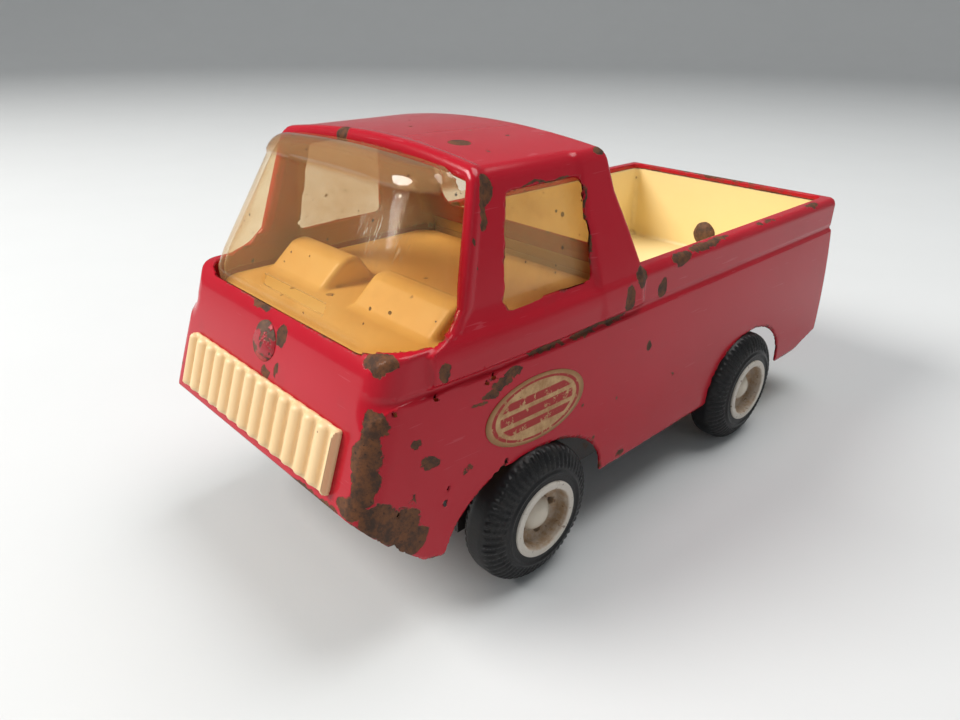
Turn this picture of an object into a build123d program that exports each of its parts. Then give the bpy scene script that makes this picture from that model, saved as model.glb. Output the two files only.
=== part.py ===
from build123d import *
import os

# Small pressed-steel pickup toy, in millimetres. The front faces -Y, the truck's left side is +X, and the
# wheels stand on Z = 0. One steel pressing makes the cab, the front panel and the cargo bed's sides, and a
# channel underneath carries two axles. Heights are given from a datum DATUM_Z above what the wheels stand on,
# and every node is lifted by that much when it is written.

# ---- driving dimensions ----
LENGTH = 190.0  # front panel's chin to tailgate
SHEET = 0.9  # thickness of the pressed steel
PLASTIC = 1.2  # wall of the moulded plastic pieces
ASSEMBLY_GAP = 0.1  # between loose-fitting pieces of the body
RUNNING_GAP = 0.05  # radial, between an axle and what turns on it

DATUM_Z = 1.0
REAR_Y = LENGTH / 2
CHIN = (-LENGTH / 2, 34.5)  # (y, z) of the front panel's lower edge
SILL_X, SILL_Z = 43.8, 16.0
FOLD_X, FOLD_Z = 46.2, 33.0  # widest line of the body side
GROOVE_X, GROOVE_Z = 41.9, 54.6  # crease that runs along the side below the rail
RAIL_X, RAIL_Z = 40.6, 65.4  # outside and top of the bed rail
RAIL_INNER_X = 36.3
TAPER_START_Y = -45.0  # the body narrows forward of here
TOE_IN = 0.9  # how far each side has come in by y = -68
COWL = (-85.0, 64.0)  # (y, z) of the windshield's base
BELT_X, BELT_Z = 41.0, 62.5  # shoulder under the side windows
WINDOW_X, WINDOW_Z = 39.0, 66.3  # foot of the side window's panel
ROOF_X, ROOF_Z, ROOF_CROWN_Z = 34.4, 93.4, 96.3
ROOF_FRONT_Y = -58.0
CAB_REAR = ((-22.5, ROOF_Z), (-20.2, 84.0), (-16.0, 75.2), (-12.0, RAIL_Z))
BED_FRONT_Y = -12.0
BED_FLOOR_Z = 37.2

WINDSHIELD_FOOT = (-83.6, COWL[1])  # (y, z) of the amber windshield's foot
WINDSHIELD_SLOPE = 0.53  # y per z
WINDSHIELD_TOP_Z = 93.4
VISOR_BACK_Y = -61.0  # where the windshield's top lip stops, just ahead of the roof
SIDE_GLAZING_TOP_Z = 89.2
DOOR_WINDOW = ((-56.2, 66.6), (-29.6, 66.8), (-31.6, 88.6), (-53.0, 88.6))
REAR_WINDOW_HALF_X, REAR_WINDOW_Z = 28.0, (68.5, 86.8)
SEAT_XS = ((-33.0, -9.0), (2.5, 30.5))

TYRE_R, TYRE_WIDTH = 17.1, 11.5
TYRE_INNER_X = 34.9
AXLE_R = 1.5
AXLE_Z = TYRE_R - DATUM_Z
FRONT_AXLE_Y, REAR_AXLE_Y = -49.2, 42.0
WEB_HOLES, WEB_HOLE_R, WEB_HOLE_REACH = 5, 0.95, 5.75
ARCH_DROP_Z = 17.0  # height of the wheel arches' widest line
FRONT_ARCH = (-49.6, 24.5, 15.8)  # centre y, half length, height above ARCH_DROP_Z
REAR_ARCH = (45.6, 21.0, 16.4)
SIDES = (("left", 1), ("right", -1))
ENDS = (("front", FRONT_AXLE_Y), ("rear", REAR_AXLE_Y))

RIVET_X, RIVET_Z = -1.3, 56.0
CLENCH_R, CLENCH_THICKNESS = 2.85, 0.8
RIVET_HEAD_R, RIVET_HEAD_HEIGHT, RIVET_SHANK_R = 4.7, 1.7, 1.9
REAR_RIVET_X, REAR_RIVET_Z = -3.5, 44.0
GRILLE_Z = 42.8  # middle of the grille
GRILLE_HALF_X, GRILLE_HEIGHT, GRILLE_PLATE = 30.6, 13.4, 0.7
GRILLE_RIBS = 13
GRILLE_TAB = (4.0, 2.0, 7.0)  # x, up the panel, through the panel
GRILLE_TAB_XS = (-24.0, 24.0)
DECAL_Y, DECAL_Z = -48.7, 43.0
DECAL_HALF_Y, DECAL_HALF_Z, DECAL_THICKNESS = 15.0, 7.6, 0.15

CHANNEL_X, CHANNEL_Z, CHANNEL_LOW_Z = 33.2, 25.0, 12.5
CHANNEL_Y = (-64.0, 60.0)
SCREW_YS = (-60.0, -32.0, 12.0, 56.0)
SCREW_R, SCREW_HEAD_R, SCREW_HEAD_HEIGHT = 1.4, 2.8, 1.6

LEAN = (COWL[0] - CHIN[0]) / (COWL[1] - CHIN[1])  # the front panel's y per z


def section_plane(y):
    """Upright plane across the truck at y, with local x along X and local y along Z."""
    return Plane(origin=(0, y, 0), x_dir=(1, 0, 0), z_dir=(0, -1, 0))


def mirrored_face(plane, half, radii):
    """Face from the right-hand half of a symmetric outline, bottom first, with a corner radius per point."""
    points = half + [(-x, z) for x, z in reversed(half)]
    outline = FilletPolyline(*points, radius=radii + radii[::-1], close=True)
    return plane * make_face(outline)


def side_prism(points, half_width):
    """Solid with the (y, z) outline given, as wide as twice half_width."""
    plane = Plane(origin=(0, 0, 0), x_dir=(0, 1, 0), z_dir=(1, 0, 0))
    return extrude(plane * make_face(Polyline(*points, close=True)), half_width, both=True)


def block(x, y, z):
    """Box between the two limits given for each axis."""
    size = [high - low for low, high in (x, y, z)]
    return Pos((x[0] + x[1]) / 2, (y[0] + y[1]) / 2, (z[0] + z[1]) / 2) * Box(*size)


def rod(start, end, radius):
    """Round bar between two points."""
    axis = Vector(*end) - Vector(*start)
    return extrude(Plane(origin=start, z_dir=axis) * Circle(radius), axis.length)


def front_y(z, inwards=0.0):
    """Where the leaning front panel is at height z, or a sheet parallel to it further inside."""
    return CHIN[0] + (z - CHIN[1]) * LEAN + inwards * (1 + LEAN**2) ** 0.5


def on_front_panel(z, x=0.0, outwards=0.0):
    """Place on the front panel's face, with local Z pointing out of it and local Y up along it."""
    plane = Plane(origin=(x, front_y(z), z), x_dir=(1, 0, 0), z_dir=(0, -1, LEAN))
    return Location(plane.offset(outwards))


# ---- body shell ----
def lower_section(y, narrowing, wall):
    """Tuck panel, fold, flared side, groove and rail of the lower body, or of the hollow inside it."""
    inset = narrowing + wall
    bottom = SILL_Z if wall == 0 else -1.0
    tuck = (FOLD_X - SILL_X) / (FOLD_Z - SILL_Z)
    half = [
        (FOLD_X - (FOLD_Z - bottom) * tuck - inset, bottom),
        (FOLD_X - inset, FOLD_Z),
        (GROOVE_X - inset, GROOVE_Z),
        (RAIL_X - inset, GROOVE_Z + 1.6),
        (RAIL_X - 0.1 - inset, RAIL_Z - wall),
    ]
    return mirrored_face(section_plane(y), half, [0, 3.0, 0.8, 1.2, 2.6])


def corner_envelope(wall):
    """Tapered column that rounds the two upright front corners."""
    faces = []
    for z in (0.0, 100.0):
        nose_y = front_y(z, wall)
        nose_x = 43.5 - (z - CHIN[1]) * 0.15 - wall
        points = [(47.0, 97.0), (47.0, TAPER_START_Y), (nose_x, nose_y), (-nose_x, nose_y)]
        points += [(-47.0, TAPER_START_Y), (-47.0, 97.0)]
        radii = [0, 0, 5.8 - wall, 5.8 - wall, 0, 0]
        faces.append(Pos(0, 0, z) * make_face(FilletPolyline(*points, radius=radii, close=True)))
    return loft(faces, ruled=True)


def lower_body(wall):
    """Lower body, filled; with a wall, the hollow that leaves the sheet outside it."""
    stations = [(REAR_Y - wall, 0.0), (TAPER_START_Y, 0.0), (-68.0, TOE_IN), (-112.0, 4.0 * TOE_IN)]
    solid = None
    for (y_a, narrow_a), (y_b, narrow_b) in zip(stations, stations[1:]):
        faces = [lower_section(y_a, narrow_a, wall), lower_section(y_b, narrow_b, wall)]
        span = loft(faces, ruled=True)
        solid = span if solid is None else solid + span
    return solid & corner_envelope(wall)


def lower_profile():
    """Side view of the lower body: leaning front, cut-up nose, sill, cut-up tail."""
    nose = [COWL, CHIN, (-88.0, 26.5), (-80.0, 19.0), (-71.0, SILL_Z)]
    tail = [(80.0, SILL_Z), (REAR_Y, 18.5), (REAR_Y, RAIL_Z), (BED_FRONT_Y, RAIL_Z), (BED_FRONT_Y, COWL[1])]
    return side_prism(nose + tail, 60.0)


def cab_section(y, narrowing, wall):
    """Belt shoulder, window panel and crowned roof of the cab."""
    inset = narrowing + wall
    half = [
        (BELT_X - inset, GROOVE_Z + 1.0),
        (BELT_X - inset, BELT_Z),
        (WINDOW_X - inset, WINDOW_Z),
        (ROOF_X - inset, ROOF_Z - wall),
        (12.0, ROOF_CROWN_Z - wall),
    ]
    return mirrored_face(section_plane(y), half, [0, 1.5, 1.5, 3.5, 120.0])


def cab_body(wall):
    """Upper cab as a filled solid, or the hollow inside it, which runs out through the windshield."""
    stations = [(0.0, 0.0), (TAPER_START_Y, 0.0), (-92.0, 2.4)]
    solid = None
    for (y_a, narrow_a), (y_b, narrow_b) in zip(stations, stations[1:]):
        span = loft([cab_section(y_a, narrow_a, wall), cab_section(y_b, narrow_b, wall)], ruled=True)
        solid = span if solid is None else solid + span
    front = [(ROOF_FRONT_Y, 98.0), (-60.8, 91.5), (-66.7, 68.0), (-70.5, 64.2), (-66.0, 55.0)]
    if wall > 0:
        front = [(-91.0, 98.0), (-91.0, 55.0)]
    back = [(y - wall * 1.1, z) for y, z in CAB_REAR]
    back = [(back[0][0] - 1.2, 98.0)] + back + [(BED_FRONT_Y - wall, 55.0)]
    return solid & side_prism(front + back[::-1], 60.0)


def arch_cutter(arch):
    """Wheel arch opening: half an ellipse with straight sides down past the sill."""
    centre_y, half_length, height = arch
    ellipse = Pos(centre_y, ARCH_DROP_Z) * Ellipse(half_length, height)
    upper = ellipse & Pos(centre_y, ARCH_DROP_Z + 50) * Rectangle(200, 100)
    lower = Pos(centre_y, ARCH_DROP_Z - 10) * Rectangle(2 * half_length, 20)
    plane = Plane(origin=(0, 0, 0), x_dir=(0, 1, 0), z_dir=(1, 0, 0))
    return extrude(plane * (upper + lower), 60.0, both=True)


def side_window_cutter():
    """Both door windows, cut straight through from side to side."""
    plane = Plane(origin=(0, 0, 0), x_dir=(0, 1, 0), z_dir=(1, 0, 0))
    outline = make_face(FilletPolyline(*DOOR_WINDOW, radius=1.5, close=True))
    return extrude(plane * outline, 60.0, both=True)


def make_body_shell():
    """The pressing: two hulls made hollow and joined, then cut for wheels, windows, bed, rivets and grille."""
    hollow_cab = cab_body(SHEET)
    shell = (lower_body(0.0) & lower_profile()) - lower_body(SHEET)
    shell += cab_body(0.0) - hollow_cab
    shell -= hollow_cab & block((-60, 60), (-84.0, BED_FRONT_Y - SHEET), (55.5, 100))
    cab_back = block((-60, 60), (BED_FRONT_Y - SHEET, BED_FRONT_Y), (BED_FLOOR_Z + 0.4, GROOVE_Z + 4))
    shell += cab_back & lower_body(0.0)
    shell -= block((-RAIL_INNER_X, RAIL_INNER_X), (BED_FRONT_Y, REAR_Y - 2.6), (60, 70))
    shell -= block((-37.4, 37.4), (-84.0, -64.0), (60, 66.2))
    shell -= arch_cutter(FRONT_ARCH)
    shell -= arch_cutter(REAR_ARCH)
    shell -= side_window_cutter()
    shell -= block((-REAR_WINDOW_HALF_X, REAR_WINDOW_HALF_X), (-28, BED_FRONT_Y + 2), REAR_WINDOW_Z)
    shell -= on_front_panel(RIVET_Z, RIVET_X) * Cylinder(RIVET_SHANK_R + ASSEMBLY_GAP, 8)
    slot_size = [side + 2 * ASSEMBLY_GAP for side in GRILLE_TAB]
    for x in GRILLE_TAB_XS:
        shell -= on_front_panel(GRILLE_Z, x) * Box(*slot_size)
    return shell - rear_rivet_hole()


def rear_rivet_hole():
    """Hole through the tailgate and the bed liner behind it."""
    ends = [(REAR_RIVET_X, y, REAR_RIVET_Z) for y in (REAR_Y - 8, REAR_Y + 5)]
    return rod(*ends, RIVET_SHANK_R + ASSEMBLY_GAP)


# ---- plastic pieces inside the shell ----
def bubble(low, high, wall):
    """Rounded, tapering column of the glazing between two heights; wall makes the space inside it."""
    faces = []
    for z in (low, high):
        up = max(z - WINDSHIELD_FOOT[1], 0.0)
        nose_y = WINDSHIELD_FOOT[0] + up * WINDSHIELD_SLOPE + wall
        back_y = BED_FRONT_Y - 1.4 - up * 0.43 - wall
        half_x = 36.7 - max(z - 68.0, 0.0) * 0.19 - wall
        points = [(half_x, nose_y), (half_x, back_y), (-half_x, back_y), (-half_x, nose_y)]
        radii = [10.0 - wall, 3.0 - wall, 3.0 - wall, 10.0 - wall]
        faces.append(Pos(0, 0, z) * make_face(FilletPolyline(*points, radius=radii, close=True)))
    return loft(faces, ruled=True)


def make_glazing():
    """Amber moulding: windshield bubble, side and rear panes, and a lip turned back towards the roof."""
    outside = bubble(60.5, 64.0, 0.0) + bubble(64.0, 68.0, 0.0) + bubble(68.0, WINDSHIELD_TOP_Z, 0.0)
    lip_z = WINDSHIELD_TOP_Z - PLASTIC
    inside = bubble(59.0, 64.0, PLASTIC) + bubble(64.0, 68.0, PLASTIC) + bubble(68.0, lip_z, PLASTIC)
    glazing = outside - inside
    glazing -= block((-50, 50), (VISOR_BACK_Y, 0), (SIDE_GLAZING_TOP_Z, 99))
    slot = on_windshield(66.6, 3.5) * Box(25.0, 3.6, 6.0)
    return glazing - slot


def on_windshield(z, x=0.0):
    """Place on the windshield's outer face, with local Z pointing out of it."""
    face_y = WINDSHIELD_FOOT[0] + (z - WINDSHIELD_FOOT[1]) * WINDSHIELD_SLOPE
    return Location(Plane(origin=(x, face_y, z), x_dir=(1, 0, 0), z_dir=(0, -1, WINDSHIELD_SLOPE)))


def screw_boss(y, top):
    """Post under a plastic moulding that a chassis screw goes up into."""
    post = rod((0, y, CHANNEL_Z), (0, y, top), 3.6)
    return post - rod((0, y, CHANNEL_Z - 1), (0, y, top - 2), SCREW_R)


def make_cab_interior():
    """Yellow moulding: dash deck, floor behind it, and two seat backs that stand up from the deck."""
    deck_z = 60.0
    half_x = 35.2
    front, back = -81.8, BED_FRONT_Y - 2.9
    outside = block((-half_x, half_x), (front, back), (40.0, deck_z)) & corner_envelope(3.0)
    inside_x = half_x - PLASTIC
    inside = block((-inside_x, inside_x), (front + PLASTIC, back - PLASTIC), (38.0, deck_z - PLASTIC))
    inside &= corner_envelope(3.0 + PLASTIC)
    moulding = outside - inside
    seat_side = [(-70.0, deck_z - 0.2), (-61.5, 66.4), (-57.5, 66.4), (-52.0, deck_z - 0.2)]
    for low_x, high_x in SEAT_XS:
        seat = side_prism(seat_side, 60.0) & block((low_x, high_x), (-80, -40), (deck_z - 0.2, 70))
        moulding += seat
    for y in SCREW_YS[:2]:
        moulding += screw_boss(y, deck_z - PLASTIC + 0.1)
    bore = on_front_panel(RIVET_Z, RIVET_X) * Cylinder(RIVET_SHANK_R + ASSEMBLY_GAP, 30)
    return moulding - bore


def make_bed_liner():
    """Yellow tray that lines the cargo bed, hung under the rail."""
    top = RAIL_Z - SHEET - ASSEMBLY_GAP
    front, back = BED_FRONT_Y + ASSEMBLY_GAP, REAR_Y - SHEET - ASSEMBLY_GAP - 0.3
    half_x = RAIL_INNER_X + PLASTIC - 0.1
    tray = block((-half_x, half_x), (front, back), (BED_FLOOR_Z - PLASTIC, top))
    hollow = block((PLASTIC - half_x, half_x - PLASTIC), (front + PLASTIC, back - PLASTIC), (BED_FLOOR_Z, 80))
    tray -= hollow
    for y in SCREW_YS[2:]:
        tray += screw_boss(y, BED_FLOOR_Z - PLASTIC + 0.1)
    return tray - rear_rivet_hole()


# ---- front panel's trim ----
def make_grille():
    """Plate with rounded upright ribs, held by two tabs through slots in the panel."""
    plate = on_front_panel(GRILLE_Z, 0, GRILLE_PLATE / 2) * Box(2 * GRILLE_HALF_X, GRILLE_HEIGHT, GRILLE_PLATE)
    pitch = 2 * GRILLE_HALF_X / GRILLE_RIBS
    grille = plate
    for i in range(GRILLE_RIBS):
        x = -GRILLE_HALF_X + pitch * (i + 0.5)
        rib = Rot(90, 0, 0) * Cylinder(pitch * 0.42, GRILLE_HEIGHT)
        placed = on_front_panel(GRILLE_Z, x, GRILLE_PLATE - 0.6) * rib
        grille += placed & (on_front_panel(GRILLE_Z, x, 5) * Box(10, 20, 10))
    for x in GRILLE_TAB_XS:
        grille += on_front_panel(GRILLE_Z, x, 0.2 - GRILLE_TAB[2] / 4) * Box(*GRILLE_TAB[:2], GRILLE_TAB[2] / 2)
    return grille


def rivet(length):
    """Domed rivet along local Z: head on the outside, clenched washer end on the inside."""
    ball_r = (RIVET_HEAD_R**2 + RIVET_HEAD_HEIGHT**2) / (2 * RIVET_HEAD_HEIGHT)
    ball = Pos(0, 0, RIVET_HEAD_HEIGHT - ball_r) * Sphere(ball_r)
    head = ball & Pos(0, 0, RIVET_HEAD_HEIGHT / 2) * Cylinder(RIVET_HEAD_R, RIVET_HEAD_HEIGHT)
    shank = Pos(0, 0, -length / 2) * Cylinder(RIVET_SHANK_R, length)
    clench = Pos(0, 0, -length - CLENCH_THICKNESS / 2) * Cylinder(CLENCH_R, CLENCH_THICKNESS)
    return head + shank + clench


def make_front_rivet():
    return on_front_panel(RIVET_Z, RIVET_X) * rivet(9.3)


def make_rear_rivet():
    """Its head is inside the bed, and the clenched end is against the tailgate's back."""
    head_y = REAR_Y - SHEET - ASSEMBLY_GAP - 0.3 - PLASTIC
    plane = Plane(origin=(REAR_RIVET_X, head_y, REAR_RIVET_Z), x_dir=(1, 0, 0), z_dir=(0, -1, 0))
    return Location(plane) * rivet(REAR_Y - head_y)


def make_decal(side):
    """Oval sticker on the door, above the front wheel arch."""
    rise = GROOVE_Z - FOLD_Z
    flare = FOLD_X - GROOVE_X
    toe_in = TOE_IN / (TAPER_START_Y + 68.0)
    narrowing = toe_in * (TAPER_START_Y - DECAL_Y)
    face_x = FOLD_X - flare * (DECAL_Z - FOLD_Z) / rise - narrowing
    plane = Plane(origin=(side * face_x, DECAL_Y, DECAL_Z), x_dir=(side * toe_in, 1, 0),
                  z_dir=(side * rise, -rise * toe_in, flare))
    return extrude(plane * Ellipse(DECAL_HALF_Y, DECAL_HALF_Z), DECAL_THICKNESS)


# ---- chassis and running gear ----
def make_chassis_plate():
    """Inverted steel channel; its two long flanges are the axle bearings."""
    outside = block((-CHANNEL_X, CHANNEL_X), CHANNEL_Y, (CHANNEL_LOW_Z, CHANNEL_Z))
    inside_x = CHANNEL_X - 1.0
    channel = outside - block((-inside_x, inside_x), (-99, 99), (0, CHANNEL_Z - 1.0))
    for y in (FRONT_AXLE_Y, REAR_AXLE_Y):
        channel -= rod((-50, y, AXLE_Z), (50, y, AXLE_Z), AXLE_R + RUNNING_GAP)
    for y in SCREW_YS:
        channel -= rod((0, y, 20), (0, y, 30), SCREW_R + 0.2)
    return channel


def make_chassis_screws():
    """Four pan-head screws, as one group of separate solids."""
    seat_z = CHANNEL_Z - 1.0
    screws = []
    for y in SCREW_YS:
        shank = rod((0, y, seat_z - 0.5), (0, y, seat_z + 8.0), SCREW_R)
        head = rod((0, y, seat_z - SCREW_HEAD_HEIGHT), (0, y, seat_z), SCREW_HEAD_R)
        slot = block((-3, 3), (y - 0.4, y + 0.4), (seat_z - 2, seat_z - 1.0))
        screws.append(shank + head - slot)
    return Compound(screws)


def make_axle(y):
    half = TYRE_INNER_X + 9.4
    return rod((-half, y, AXLE_Z), (half, y, AXLE_Z), AXLE_R)


def turned(outline, y, side):
    """Solid of revolution about an axle from an outline of (distance from wheel's inner face, radius)."""
    plane = Plane(origin=(0, y, AXLE_Z), x_dir=(side, 0, 0), z_dir=(0, -side, 0))
    shifted = [(TYRE_INNER_X + a, r) for a, r in outline]
    face = plane * make_face(Polyline(*shifted, close=True))
    return revolve(face, Axis((0, y, AXLE_Z), (1, 0, 0)))


def make_tyre(y, side):
    """Soft tyre: flat seat on the hub, bulging sidewalls and a narrow flat tread."""
    plane = Plane(origin=(0, y, AXLE_Z), x_dir=(side, 0, 0), z_dir=(0, -side, 0))
    bulge, rise = TYRE_WIDTH / 2 - 0.25, TYRE_R - 10.5
    outer_middle = (TYRE_INNER_X + TYRE_WIDTH - bulge, 10.5)
    inner_middle = (TYRE_INNER_X + bulge, 10.5)
    outer = EllipticalCenterArc(outer_middle, bulge, rise, start_angle=0, arc_size=90)
    inner = EllipticalCenterArc(inner_middle, bulge, rise, start_angle=90, arc_size=90)
    seat = [(TYRE_INNER_X + 0.4, 8.6), (TYRE_INNER_X + TYRE_WIDTH - 0.6, 8.6)]
    rest = Polyline(inner @ 1, *seat, outer @ 0)
    outline = outer + Line(outer @ 1, inner @ 0) + inner + rest
    return revolve(plane * make_face(outline), Axis((0, y, AXLE_Z), (1, 0, 0)))


def make_hub(y, side):
    """Moulded wheel: barrel, outer ring, dished web with five holes, and a bearing tube."""
    bore = AXLE_R + RUNNING_GAP
    outline = [(-0.6, bore), (-0.6, 3.2), (5.4, 3.2), (5.4, 7.0), (0.6, 7.4), (0.6, 8.6), (10.9, 8.6)]
    outline += [(11.25, 9.5), (11.7, 9.5), (12.0, 9.2), (12.0, 8.2), (11.6, 7.7), (8.4, 7.2), (7.0, 6.8), (7.0, bore)]
    hub = turned(outline, y, side)
    at_side = Location(Plane(origin=(side * 40, y, AXLE_Z), x_dir=(0, 1, 0), z_dir=(side, 0, 0)))
    for i in range(WEB_HOLES):
        hole = Pos(0, WEB_HOLE_REACH, 0) * Cylinder(WEB_HOLE_R, 40)
        hub -= at_side * Rot(0, 0, 360 / WEB_HOLES * i + 18) * hole
    return hub


def make_axle_cap(y, side):
    """Domed cap pressed on the axle's end to hold the wheel on."""
    outline = [(7.4, AXLE_R), (7.4, 4.6), (8.1, 4.6), (9.3, 3.9), (10.3, 2.6), (10.8, 1.2), (10.9, 0.0), (9.5, 0.0)]
    outline += [(9.5, AXLE_R)]
    return turned(outline, y, side)


# ---- write every node ----
def all_parts():
    parts = {
        "body_shell": make_body_shell(),
        "glazing": make_glazing(),
        "cab_interior": make_cab_interior(),
        "bed_liner": make_bed_liner(),
        "grille": make_grille(),
        "front_rivet": make_front_rivet(),
        "rear_rivet": make_rear_rivet(),
        "chassis_plate": make_chassis_plate(),
        "chassis_screws": make_chassis_screws(),
    }
    for side_name, side in SIDES:
        parts[f"decal_{side_name}"] = make_decal(side)
    for end_name, y in ENDS:
        parts[f"{end_name}_axle"] = make_axle(y)
        for side_name, side in SIDES:
            corner = f"{end_name}_{side_name}"
            parts[f"{corner}_tyre"] = make_tyre(y, side)
            parts[f"{corner}_hub"] = make_hub(y, side)
            parts[f"{corner}_axle_cap"] = make_axle_cap(y, side)
    return parts


os.makedirs("parts", exist_ok=True)
for node, shape in all_parts().items():
    export_step(Pos(0, 0, DATUM_Z) * shape, f"parts/{node}.step")
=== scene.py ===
import math

import bpy
import numpy as np
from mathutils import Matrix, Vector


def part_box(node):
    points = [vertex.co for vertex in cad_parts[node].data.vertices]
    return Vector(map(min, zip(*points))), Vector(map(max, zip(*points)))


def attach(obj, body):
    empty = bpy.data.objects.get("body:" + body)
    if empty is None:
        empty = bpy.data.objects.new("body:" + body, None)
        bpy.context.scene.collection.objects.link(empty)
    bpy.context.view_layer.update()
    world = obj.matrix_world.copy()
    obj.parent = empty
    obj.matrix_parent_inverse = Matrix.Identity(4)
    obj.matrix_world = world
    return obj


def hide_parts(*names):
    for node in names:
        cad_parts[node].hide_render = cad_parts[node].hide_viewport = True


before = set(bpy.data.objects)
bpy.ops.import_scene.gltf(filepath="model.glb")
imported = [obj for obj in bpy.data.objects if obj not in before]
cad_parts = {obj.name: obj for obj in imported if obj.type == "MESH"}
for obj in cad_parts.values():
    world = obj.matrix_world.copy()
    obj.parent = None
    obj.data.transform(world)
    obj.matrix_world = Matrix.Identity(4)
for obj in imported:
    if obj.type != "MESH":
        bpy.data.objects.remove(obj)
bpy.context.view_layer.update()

import openvdb
from mathutils import Matrix, Vector

MM = 0.001
DATUM = 1.0  # heights below are in millimetres from this far above the floor

# ---- the truck's main lines, in millimetres ----
SHEET = 1.0  # the pressing's thickness with its paint
PLASTIC = 1.2  # wall of the moulded pieces
REAR_Y, CHIN_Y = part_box("body_shell")[1].y / MM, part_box("body_shell")[0].y / MM
SIDE_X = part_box("body_shell")[1].x / MM - 0.05
ROOF_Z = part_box("body_shell")[1].z / MM - DATUM - 0.5
CHIN_Z = 34.5
COWL_Y, COWL_Z = -85.0, 64.0
FOLD_Z = 33.0
GROOVE_Z = 55.2
RAIL_X, RAIL_Z, RAIL_INNER_X = 40.6, 65.4, 36.3
BELT_X, BELT_Z = 41.5, 62.3
WINDOW_X, WINDOW_Z = 39.1, 66.4
BED_FRONT_Y = -12.0
LEAN = (COWL_Y - CHIN_Y) / (COWL_Z - CHIN_Z)
# y and then z up the windshield pillars, and down the cab's back
FRONT_LINE = ((-76.0, -70.2, -66.9, -60.8, -58.0), (63.0, 65.6, 69.0, 91.5, 98.0))
BACK_LINE = ((-12.0, -16.0, -20.2, -22.5, -23.6), (65.4, 75.2, 84.0, 93.4, 98.0))
LOWER_EDGE = ((-95.0, -88.0, -80.0, -71.0, 80.0, 95.0), (34.5, 26.5, 19.0, 16.0, 16.0, 20.0))
DOOR_WINDOW = ((-56.2, 66.6), (-29.6, 66.8), (-31.6, 88.6), (-53.0, 88.6))
FRONT_ARCH, REAR_ARCH = (-49.6, 24.5, 15.8), (45.6, 21.0, 16.4)  # middle y, half length, height
ARCH_Z = 17.0
SIDE_PANE_TOP_Z, LIP_BACK_Y = 89.2, -61.0  # where the glazing is open under the roof
DECK_Z = 60.0
SEAT_XS = ((-33.0, -9.0), (2.5, 30.5))
BED_FLOOR_Z = 37.2
RIVET_X, RIVET_Z = -1.3, 56.0
REAR_RIVET = (-3.5, 44.0)
GRILLE_Z, GRILLE_HALF_X, GRILLE_HALF_HEIGHT, GRILLE_RIBS = 42.8, 30.6, 6.7, 13
DECAL_Y, DECAL_Z, DECAL_HALF_Y, DECAL_HALF_Z = -48.7, 43.0, 15.0, 7.6
CAMERA_PLACE = (0.13188, -0.15167, 0.12152)  # metres
CAMERA_TURN = (136.37, 26.0, -0.62)  # yaw, downward pitch and roll in degrees
CAMERA_LENS = 27.4
CORNERS = [(end, side) for end in ("front", "rear") for side in ("left", "right")]


# ---- shapes described by signed distance in millimetres, negative inside ----
def round_both(a, b, radius):
    """Inside both a and b, with the edge rounded."""
    corner = np.hypot(np.maximum(a + radius, 0), np.maximum(b + radius, 0))
    return np.minimum(np.maximum(a, b), -radius) + corner


def round_either(a, b, radius):
    """Inside a or b, with the crease between them filled to a radius."""
    return -round_both(-a, -b, radius)


def polygon(p, q, corners, radius):
    """Convex outline with its corners listed counter-clockwise in the plane of p and q."""
    inside = None
    for start, end in zip(corners, corners[1:] + corners[:1]):
        dp, dq = end[0] - start[0], end[1] - start[1]
        edge = ((p - start[0]) * dq - (q - start[1]) * dp) / math.hypot(dp, dq)
        inside = edge if inside is None else round_both(inside, edge, radius)
    return inside


def slab(p, low, high):
    """Between two limits."""
    return np.maximum(low - p, p - high)


def plan_box(x, y, half_x, low_y, high_y, radius):
    """Upright column with a rounded rectangle for its plan."""
    across = np.abs(x) - half_x + radius
    along = np.abs(y - (low_y + high_y) / 2) - (high_y - low_y) / 2 + radius
    outside = np.hypot(np.maximum(across, 0), np.maximum(along, 0))
    return outside + np.minimum(np.maximum(across, along), 0) - radius


def narrowing(y):
    """How far each side comes in towards the nose."""
    return 2.6 * np.clip((-40.0 - y) / 55.0, 0.0, 1.2) ** 1.6


def lower_side(x, z):
    """Tuck panel, fold, flared side, groove and rail, as the distance outside one side."""
    tuck = ((x - SIDE_X) - (z - FOLD_Z) * 0.142) * 0.99
    flare = ((x - SIDE_X) + (z - FOLD_Z) * 0.199) * 0.981
    panel = round_both(round_both(tuck, flare, 12.0), z - GROOVE_Z, 0.5)
    rail = round_both(x - RAIL_X, z - RAIL_Z, 2.6)
    groove = np.hypot(x - RAIL_X - 0.5, z - GROOVE_Z - 0.5) - 0.75
    return round_both(round_either(panel, rail, 0.5), -groove, 0.3)


def lower_body(x, y, z):
    """Lower body without its open underside."""
    front = (CHIN_Y + (z - CHIN_Z) * LEAN - y) / math.hypot(1.0, LEAN)
    body = round_both(lower_side(x + narrowing(y), z), front, 5.8)
    body = round_both(body, y - REAR_Y, 1.8)
    cowl_top = np.maximum(z - COWL_Z, y - BED_FRONT_Y - 4.0)
    return round_both(body, np.minimum(cowl_top, np.maximum(BED_FRONT_Y - y, z - RAIL_Z)), 0.6)


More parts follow.
